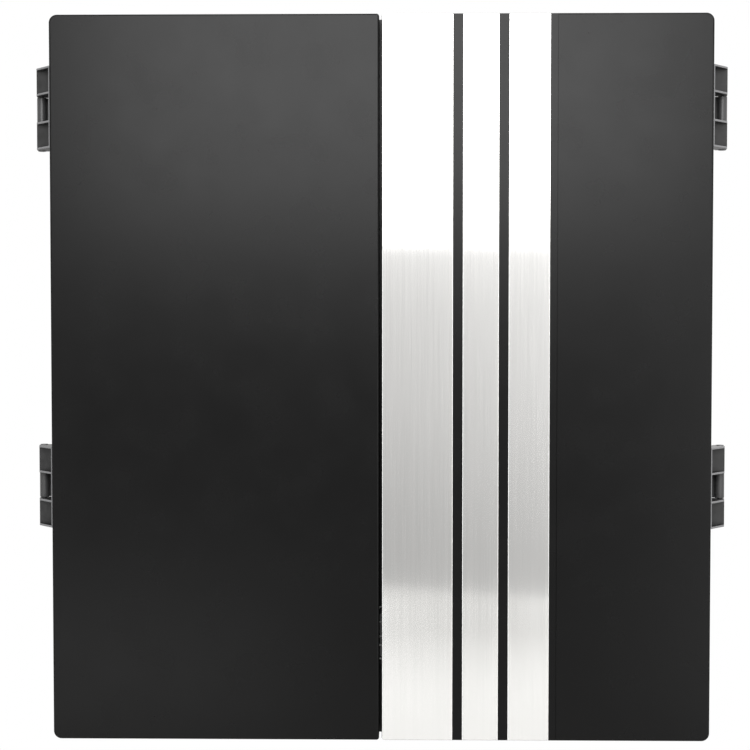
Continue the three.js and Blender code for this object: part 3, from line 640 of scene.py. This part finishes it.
def knuckle_section(side, root, nose, corner):
    """A knuckle's section about the pin, its front edge running from the door out to a rounded nose."""
    tip = KNUCKLE_RADIUS - LEAN * nose / NOSE
    inset = -PIN_OFFSET - 0.6 * MM
    front = [(inset, -root), (-PIN_OFFSET + HINGE_RIB, -root)]
    slope = math.degrees(math.atan2(root - nose, tip + PIN_OFFSET - HINGE_RIB))
    front += arc(tip - corner, -nose + corner * 0.8, corner, -90 + slope, 0, 5)
    back = arc(0, 0, KNUCKLE_RADIUS, 0, 90, 10)
    rim, heel = DOOR_RIM - PIN_Y, -KNUCKLE_RADIUS - 1.5 * MM
    back += [(heel + 0.6 * MM, KNUCKLE_RADIUS), (heel, KNUCKLE_RADIUS - 0.6 * MM), (heel, rim), (inset, rim)]
    return [(side * (PIN_X + u), PIN_Y + v) for u, v in (*front, *back)]


def rounded_nose(side, low, high, radius=1.3 * MM):
    """The cutter that rounds a hinge's outer corners, seen from the front, at its top and bottom."""
    cutters = []
    far = PIN_X + KNUCKLE_RADIUS + 0.4 * MM
    for z, way in ((low, 1), (high, -1)):
        outline = [(side * (far + MM), z - way * MM), (side * (far - radius - 0.4 * MM), z - way * MM)]
        centre = (far - 0.4 * MM - radius, z + way * radius)
        outline += [(side * (centre[0] + u), centre[1] - way * v) for u, v in arc(0, 0, radius, 90, 0, 6)]
        outline.append((side * (far + MM), z + way * radius))
        cutters.append(prism("corner", outline, "y", PIN_Y - 12 * MM, PIN_Y + 6 * MM))
    return cutters


def hinge_leaf(side, z):
    """A door's side of a hinge: two blocks, each a pocket between two webs, on one rib along the door."""
    inner, outer = BARREL / 2, BARREL / 2 + KNUCKLE
    web_section = knuckle_section(side, WEB_ROOT, NOSE, 1.2 * MM)
    floor_section = knuckle_section(side, FLOOR_ROOT, FLOOR_NOSE, 0.3 * MM)
    x0, x1 = sorted((side * (DOOR_SIDE - 0.6 * MM), side * (DOOR_SIDE + HINGE_RIB)))
    inset = 0.05 * MM
    leaf = block("leaf", (x0, PIN_Y - WEB_ROOT, z - outer + inset), (x1, DOOR_RIM - inset, z + outer - inset))
    bevelled(leaf, 0.25 * MM)
    webs = [
        bevelled(prism("web", web_section, "z", z + low, z + low + WEB), 0.35 * MM, 3)
        for low in (-outer, -inner - WEB, inner, outer - WEB)
    ]
    floors = [
        prism("floor", floor_section, "z", z + low + WEB / 2, z + low + KNUCKLE - WEB / 2)
        for low in (-outer, inner)
    ]
    union(leaf, *webs, *floors)
    return cut(leaf, *rounded_nose(side, z - outer, z + outer))


def bracket(name, side, z):
    """A case bracket: a screwed plate, an arm and the barrel between a door's knuckles."""
    low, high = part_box(f"hinge_bracket_{name}")
    half = BARREL / 2 - END_PLAY
    inner, thickness, depth = CASE_SIDE + 0.3 * MM, 2.5 * MM, 16 * MM
    outer = inner + thickness
    front = high.y - depth
    x0, x1 = sorted((side * inner, side * outer))
    plate = bevelled(block("plate", (x0, front, low.z), (x1, high.y, high.z)), 0.6 * MM, 3)
    arm = [(outer - 0.8 * MM, front + 0.3 * MM), (outer - 0.8 * MM, front + 9 * MM),
           (PIN_X, PIN_Y + 3.2 * MM), (PIN_X - 1.5 * MM, PIN_Y)]
    arm = bevelled(prism("arm", [(side * u, v) for u, v in arm], "z", z - half, z + half), 0.4 * MM, 2)
    radius, lip = 3.6 * MM, 0.3 * MM
    barrel = turned("barrel", [
        (0, z - half), (radius - lip, z - half), (radius, z - half + lip),
        (radius, z + half - lip), (radius - lip, z + half), (0, z + half),
    ], (side * PIN_X, PIN_Y, 0), "z", 48)
    return union(plate, arm, barrel)


def hinge_pin(side, z):
    """A steel hinge pin with a domed head at each end."""
    half = BARREL / 2 + KNUCKLE + 0.05 * MM
    head, height, shank = 3 * MM, 0.5 * MM, 1.5 * MM
    dome = [(0, 0), (head * 0.45, 0), (head * 0.8, height * 0.18), (head * 0.96, height * 0.45),
            (head, height * 0.8), (head, height), (shank, height)]
    low = z - half - height
    profile = [(r, low + t) for r, t in dome] + [(r, 2 * z - low - t) for r, t in reversed(dome)]
    return turned("pin", profile, (side * PIN_X, PIN_Y, 0), "z", 40)


def lighten_edges(leaf, side):
    """Paints a leaf's front edges pale grey, a painted highlight where light catches them, and gives its
    pocket floors their speckled finish.
    """
    leaf.data.materials.append(HINGE_EDGE_PAINTED_HIGHLIGHT)
    leaf.data.materials.append(POCKET)
    run = KNUCKLE_RADIUS - LEAN + PIN_OFFSET - HINGE_RIB
    for face in leaf.data.polygons:
        across = side * face.center.x - DOOR_SIDE - HINGE_RIB
        edge = PIN_Y - WEB_ROOT + max(across, 0) * (WEB_ROOT - NOSE) / run
        # Faces along the front edges take the painted highlight.
        if face.center.y < edge + 0.7 * MM and face.normal.y < -0.2:
            face.material_index = 1
        elif face.normal.y < -0.5 and across > 0:
            face.material_index = 2


for name in HINGES:
    side_name = name.split("_")[1]
    side = SIDES[side_name]
    low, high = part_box(f"hinge_pin_{name}")
    z = (low.z + high.z) / 2
    leaf = finished(hinge_leaf(side, z), f"hinge_leaf_{name}", f"{side_name}_door", HINGE)
    lighten_edges(leaf, side)
    finished(bracket(name, side, z), f"hinge_bracket_{name}_moulded", "case", BARREL_BLACK_PAINTED_LIT,
             [f"hinge_bracket_{name}"])
    finished(hinge_pin(side, z), f"hinge_pin_{name}_turned", f"{side_name}_door", BLACKENED,
             [f"hinge_pin_{name}"])


# ---- Target -----------------------------------------------------------------------------------

SECTORS = 20
WIRE, CLEAR = 1.2 * MM, 0.3 * MM
CIRCLES = {"outer_bull": 19 * MM, "treble_in": 92 * MM, "treble_out": 104 * MM, "double_in": 156 * MM}
DOUBLE_OUT = 168 * MM
SEGMENT_FRONT = spider_low.y + 0.5 * MM
SEGMENT_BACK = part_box("inner_single_ring")[1].y
WEB_FRONT = SEGMENT_BACK - 0.8 * MM
CENTRE = (0, 0, TARGET_Z)


def sector(inner, outer, index):
    """One target segment: a sector between two circles, with straight sides set off from the spokes."""
    edge = WIRE / 2 + CLEAR
    low, high = inner + edge, outer - edge
    half = math.pi / SECTORS
    outline = []
    for radius, way in ((low, 1), (high, -1)):
        swing = half - math.asin(edge / radius)
        for i in range(9):
            a = index * 2 * half - way * swing + way * 2 * swing * i / 8
            outline.append((radius * math.sin(a), TARGET_Z + radius * math.cos(a)))
    return bevelled(prism("segment", outline, "y", SEGMENT_FRONT, WEB_FRONT + CLEAR), 0.35 * MM, 2, 40)


def target_ring(name, inner, outer, even, odd):
    """A ring of twenty segments in two colours on one thin web."""
    edge = WIRE / 2 + CLEAR
    web = turned("web", [
        (inner + edge, WEB_FRONT), (outer - edge, WEB_FRONT),
        (outer - edge, SEGMENT_BACK), (inner + edge, SEGMENT_BACK),
    ], CENTRE, steps=120)
    for first, colour, slot, extra in ((0, *even, [web]), (1, *odd, [])):
        pieces = [sector(inner, outer, i) for i in range(first, SECTORS, 2)]
        finished(joined("segments", pieces + extra), f"{name}_{slot}", "case", colour, [name])


def bull(name, inner, outer, colour):
    """One of the two pieces of the bull, with a rounded front edge and a chamfered back."""
    low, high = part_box(name)
    ease = 0.4 * MM
    profile = [(outer - ease, low.y), (outer, low.y + ease), (outer, high.y - ease), (outer - ease, high.y)]
    if inner:
        profile += [(inner + ease, high.y), (inner, high.y - ease)]
        profile += [(inner, low.y + ease), (inner + ease, low.y)]
    else:
        profile = [(0, low.y), *profile, (0, high.y)]
    finished(turned("bull", profile, CENTRE, steps=64), f"{name}_perforated", name, colour, [name])


black_singles, cream_singles = (DARK, "black_matt"), (CREAM, "segment_cream")
red_beds, green_beds = (RED, "segment_red"), (GREEN, "segment_green")
target_ring("inner_single_ring", CIRCLES["outer_bull"], CIRCLES["treble_in"], black_singles, cream_singles)
target_ring("treble_ring", CIRCLES["treble_in"], CIRCLES["treble_out"], red_beds, green_beds)
target_ring("outer_single_ring", CIRCLES["treble_out"], CIRCLES["double_in"], black_singles, cream_singles)
target_ring("double_ring", CIRCLES["double_in"], DOUBLE_OUT, red_beds, green_beds)
bull("inner_bull", 0, 9 * MM - CLEAR, RED)
bull("outer_bull", 9 * MM, 19 * MM - WIRE / 2 - CLEAR, GREEN)


def wire_circle(radius):
    """One circle of the spider, with a rounded front edge."""
    low, high = spider_low.y, spider_low.y + 10 * MM
    half, ease = WIRE / 2, 0.4 * MM
    return turned("wire", [
        (radius - half + ease, low), (radius + half - ease, low), (radius + half, low + ease),
        (radius + half, high), (radius - half, high), (radius - half, low + ease),
    ], CENTRE, steps=140)


def spider():
    """The grid in front of the target: four circles, twenty spokes and a rim with a flange behind it."""
    low = spider_low.y
    back = low + 10 * MM
    rim, flange = DOUBLE_OUT + 3.5 * MM, DOUBLE_OUT + 7 * MM
    parts = [wire_circle(radius) for radius in CIRCLES.values()]
    parts.append(turned("rim", [
        (DOUBLE_OUT + 0.5 * MM, low), (rim - 0.8 * MM, low), (rim, low + 0.8 * MM), (rim, back - CLEAR),
        (flange, back - CLEAR), (flange, spider_high.y), (DOUBLE_OUT, spider_high.y),
        (DOUBLE_OUT, low + 0.5 * MM),
    ], CENTRE, steps=180))
    for i in range(SECTORS):
        spoke = bevelled(block(
            "spoke",
            (-WIRE / 2, low, CIRCLES["outer_bull"]),
            (WIRE / 2, back, DOUBLE_OUT + 0.4 * MM),
        ), 0.35 * MM)
        angle = 2 * math.pi * (i + 0.5) / SECTORS
        spoke.data.transform(Matrix.Translation(CENTRE) @ Matrix.Rotation(angle, 4, "Y"))
        parts.append(spoke)
    return joined("spider", parts)


finished(spider(), "target_spider_moulded", "case", MATT, ["target_spider"])


def numeral(text, size, place, raised):
    """A raised numeral facing -Y, centred on a place on a surface."""
    curve = bpy.data.curves.new("numeral", "FONT")
    curve.body = text
    curve.size = size
    curve.extrude = raised / 2
    curve.bevel_depth = 0.05 * MM
    curve.align_x, curve.align_y = "CENTER", "CENTER"
    source = bpy.data.objects.new("numeral", curve)
    bpy.context.scene.collection.objects.link(source)
    bpy.context.view_layer.update()
    mesh = bpy.data.meshes.new_from_object(source.evaluated_get(bpy.context.evaluated_depsgraph_get()))
    bpy.data.objects.remove(source)
    bm = bmesh.new()
    bm.from_mesh(mesh)
    bmesh.ops.remove_doubles(bm, verts=bm.verts, dist=1e-6)
    bmesh.ops.recalc_face_normals(bm, faces=bm.faces)
    bm.to_mesh(mesh)
    bm.free()
    obj = bpy.data.objects.new("numeral", mesh)
    bpy.context.scene.collection.objects.link(obj)
    mesh.transform(Matrix.Translation(place) @ Matrix.Rotation(math.pi / 2, 4, "X"))
    return obj


def number_ring():
    """The sloping-edged ring that the numbers stand on, its lip around the target and its clamped flange."""
    catch_in, wall = DOUBLE_OUT + 4 * MM, 2.5 * MM
    catch_out = catch_in + 28 * MM
    front, clamp = ring_low.y, CASE_FRONT + DOOR_WALL + CLEAR
    back, lip = clamp + 1.5 * MM, spider_low.y + 10 * MM - 2 * CLEAR
    ease = 0.5 * MM
    flange = catch_out + 5 * MM
    return turned("ring", [
        (catch_in + ease, front), (catch_out - CLEAR - ease, front), (catch_out - CLEAR, front + ease),
        (catch_out - CLEAR, clamp), (flange, clamp), (flange, back), (catch_in + wall, back),
        (catch_in + wall, lip), (catch_in, lip), (catch_in, front + ease),
    ], CENTRE, steps=180)


finished(number_ring(), "number_ring_moulded", "case", MATT, ["number_ring"])
NUMBERS = [20, 1, 18, 4, 13, 6, 10, 15, 2, 17, 3, 19, 7, 16, 8, 11, 14, 9, 12, 5]
figures = []
for i, number in enumerate(NUMBERS):
    a = 2 * math.pi * i / SECTORS
    radius = DOUBLE_OUT + 18 * MM
    place = (radius * math.sin(a), ring_low.y - 0.05 * MM, TARGET_Z + radius * math.cos(a))
    figures.append(numeral(str(number), 19 * MM, place, 0.4 * MM))
finished(joined("figures", figures), "number_ring_figures", "case", WHITE)


# ---- Case face and control panel --------------------------------------------------------------

BUTTON = 7.6 * MM
BUTTONS = [f"button_{name}" for name in ("hold", "page", "game", "power", "start", "player", "miss", "sound")]


def case_face():
    """The front half of the case: its pierced face and its wall with rounded corners."""
    corner, wall, ease = 5 * MM, DOOR_WALL, 0.6 * MM

    def outline(inset):
        radius = corner - inset
        return rounded_rectangle(
            -CASE_SIDE + inset, CASE_SIDE - inset, CASE_BOTTOM + inset, CASE_TOP - inset, [radius] * 4)

    holes = [circle(0, TARGET_Z, DOUBLE_OUT + 32 * MM, 180)]
    holes.append(rounded_rectangle(
        lens_low.x - CLEAR, lens_high.x + CLEAR, lens_low.z - CLEAR, lens_high.z + CLEAR, [MM] * 4))
    for name in BUTTONS:
        low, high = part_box(name)
        holes.append(circle((low.x + high.x) / 2, (low.z + high.z) / 2, BUTTON + CLEAR, 40))
    speaker_low, speaker_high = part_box("speaker")
    middle = (speaker_low.z + speaker_high.z) / 2
    for i in range(-2, 3):
        x = i * 6 * MM
        holes.append(rounded_rectangle(x - MM, x + MM, middle - 11 * MM, middle + 11 * MM, [0.9 * MM] * 4, 4))
    face = prism("face", outline(ease), "y", CASE_FRONT, CASE_FRONT + wall)
    cut(face, *[prism("hole", hole, "y", CASE_FRONT - MM, CASE_FRONT + wall + MM) for hole in holes])
    section = [
        (ease, CASE_FRONT), (ease * 0.3, CASE_FRONT + ease * 0.3), (0, CASE_FRONT + ease),
        (0, CASE_SPLIT_FRONT), (wall, CASE_SPLIT_FRONT), (wall, CASE_FRONT + wall * 0.9),
    ]
    shell = loft("wall", [[(x, y, z) for x, z in outline(inset)] for inset, y in section], closed=True)
    return joined("case_face", [face, shell])


finished(case_face(), "front_housing_moulded", "case", SATIN, ["front_housing"])
for name in BUTTONS:
    low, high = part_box(name)
    flange = (high.x - low.x) / 2
    face, collar, ease = low.y, CASE_FRONT + DOOR_WALL + CLEAR, 0.9 * MM
    profile = [(0, face + 0.35 * MM), (BUTTON * 0.5, face + 0.25 * MM), (BUTTON * 0.72, face + 0.02 * MM),
               (BUTTON - ease, face), (BUTTON - ease * 0.3, face + ease * 0.3), (BUTTON, face + ease),
               (BUTTON, collar), (flange, collar), (flange, high.y), (0, high.y)]
    centre = ((low.x + high.x) / 2, 0, (low.z + high.z) / 2)
    finished(turned("button", profile, centre, steps=48), f"{name}_cap", name, SILICONE, [name])

lens = bevelled(block("lens", lens_low, lens_high), 0.4 * MM, 3)
finished(lens, "display_lens_bevelled", "case", GLASS_DARK, ["display_lens"])
# White marks painted where glints show in the gap between the doors: painted highlights.
GLINT_HEIGHTS = [22.3 * MM, 10.3 * MM, -0.9 * MM, -7.7 * MM, -18.2 * MM]
painted_glints = []
for offset in GLINT_HEIGHTS:
    z = PANEL_Z + offset
    level = lens_low.y if lens_low.z < z < lens_high.z else CASE_FRONT
    low, high = (-1.4 * MM, level - 0.15 * MM, z - 0.55 * MM), (MM, level + 0.1 * MM, z + 0.55 * MM)
    painted_glints.append(block("painted_glint", low, high))
finished(joined("painted_glints", painted_glints), "display_painted_glints", "case", WHITE)


# ---- What is left keeps its CAD shape, with a finish of its own ---------------------------------

FINISHES = {
    "rear_housing": MATT, "speaker": MATT, "power_jack": MATT, "sensor_membrane": FILM, "ribbon_cable": FILM,
    "foam_pad": FOAM, "backing_board": HARDBOARD, "control_board": CIRCUIT, "display_module": GLASS_DARK,
    "keypad_left": SILICONE, "keypad_right": SILICONE,
}
for name, obj in frame["nodes"].items():
    if not obj.hide_render:
        obj.data.materials.clear()
        obj.data.materials.append(FINISHES[name])


# ---- Studio -----------------------------------------------------------------------------------

def softbox(name, place, aim, width, height, radiance, colour=(1, 1, 1)):
    """A soft rectangular lamp with a given radiance, aimed at a point."""
    lamp = bpy.data.lights.new(name, "AREA")
    lamp.shape = "RECTANGLE"
    lamp.size, lamp.size_y = width, height
    lamp.energy = radiance * math.pi * width * height
    lamp.color = colour
    obj = bpy.data.objects.new(name, lamp)
    bpy.context.scene.collection.objects.link(obj)
    obj.location = place
    obj.rotation_euler = (Vector(aim) - Vector(place)).to_track_quat("-Z", "Y").to_euler()


def pale_floor():
    """A plain pale floor under the cabinet, whose front edge shows in the strips."""
    level = -0.5
    corners = [(-1.6, -2.69), (1.2, -1.61), (1.6, -1.45), (1.6, 0.55), (-1.6, 0.55)]
    floor = new_object("studio_floor", [(x, y, level) for x, y in corners], [(0, 1, 2, 3, 4)])
    material, tree, shader = material_nodes("pale_floor")
    tree.links.new(tinted(tree, noise(tree, 3, 2), (0.46, 0.46, 0.455), (0.48, 0.48, 0.475)),
                   shader.inputs["Base Color"])
    shader.inputs["Roughness"].default_value = 0.8
    floor.data.materials.append(material)


def studio_world():
    """White behind everything the camera sees; for light and reflections, a room that darkens at eye level."""
    world = bpy.data.worlds.new("studio")
    bpy.context.scene.world = world
    world.use_nodes = True
    tree = world.node_tree
    shader = tree.nodes["Background"]
    coords = tree.nodes.new("ShaderNodeTexCoord")
    split = tree.nodes.new("ShaderNodeSeparateXYZ")
    height = tree.nodes.new("ShaderNodeMath")
    height.operation = "MULTIPLY_ADD"
    height.inputs[1].default_value = 0.5
    height.inputs[2].default_value = 0.5
    ramp = tree.nodes.new("ShaderNodeValToRGB")
    # Degrees above the horizon, and the room's brightness there.
    levels = [(-90, 0.6), (-20, 0.5), (-9, 0.47), (-7, 0.49), (-5, 0.55), (-3, 0.61), (-1, 0.66),
              (0.5, 0.71), (2.5, 0.85), (12, 0.9), (30, 1.2), (90, 1.3)]
    elements = ramp.color_ramp.elements
    while len(elements) < len(levels):
        elements.new(0.5)
    for element, (degrees, level) in zip(elements, levels):
        element.position = (math.sin(math.radians(degrees)) + 1) / 2
        element.color = (level, level * 0.995, level * 0.985, 1)
    brighter = tree.nodes.new("ShaderNodeMapRange")
    brighter.inputs["From Max"].default_value = 0.2
    brighter.inputs["To Min"].default_value = 1
    brighter.inputs["To Max"].default_value = 1.45
    scaled = tree.nodes.new("ShaderNodeVectorMath")
    scaled.operation = "SCALE"
    tree.links.new(split.outputs["X"], brighter.inputs["Value"])
    tree.links.new(ramp.outputs["Color"], scaled.inputs[0])
    tree.links.new(brighter.outputs["Result"], scaled.inputs["Scale"])
    path = tree.nodes.new("ShaderNodeLightPath")
    mix = tree.nodes.new("ShaderNodeMix")
    mix.data_type = "RGBA"
    mix.inputs["B"].default_value = (1, 1, 1, 1)
    tree.links.new(coords.outputs["Generated"], split.inputs[0])
    tree.links.new(split.outputs["Z"], height.inputs[0])
    tree.links.new(height.outputs[0], ramp.inputs["Fac"])
    tree.links.new(path.outputs["Is Camera Ray"], mix.inputs["Factor"])
    tree.links.new(scaled.outputs["Vector"], mix.inputs["A"])
    tree.links.new(mix.outputs["Result"], shader.inputs["Color"])


pale_floor()
studio_world()
softbox("key_softbox", (0.0, -1.62, 0.734), (0.0, 0.0, 0.734), 1.12, 1.03, 6.7)
softbox("key_edge", (0.0, -1.62, 0.195), (0.0, 0.0, 0.195), 1.12, 0.0464, 1.15)
softbox("low_left", (-0.62, -1.42, -0.49), (-0.62, -1.421, 1.0), 0.9, 0.95, 1.6)
softbox("low_right", (0.83, -1.42, -0.49), (0.83, -1.421, 1.0), 0.8, 0.95, 1.6)
softbox("right_panel", (0.95, -1.62, -0.1), (0.95, 0.0, -0.1), 0.7, 0.5, 2.6)
softbox("left_panel", (-1.15, -1.62, -0.1), (-1.15, 0.0, -0.1), 0.7, 0.5, 1.3)
bpy.context.scene.view_settings.view_transform = "Standard"
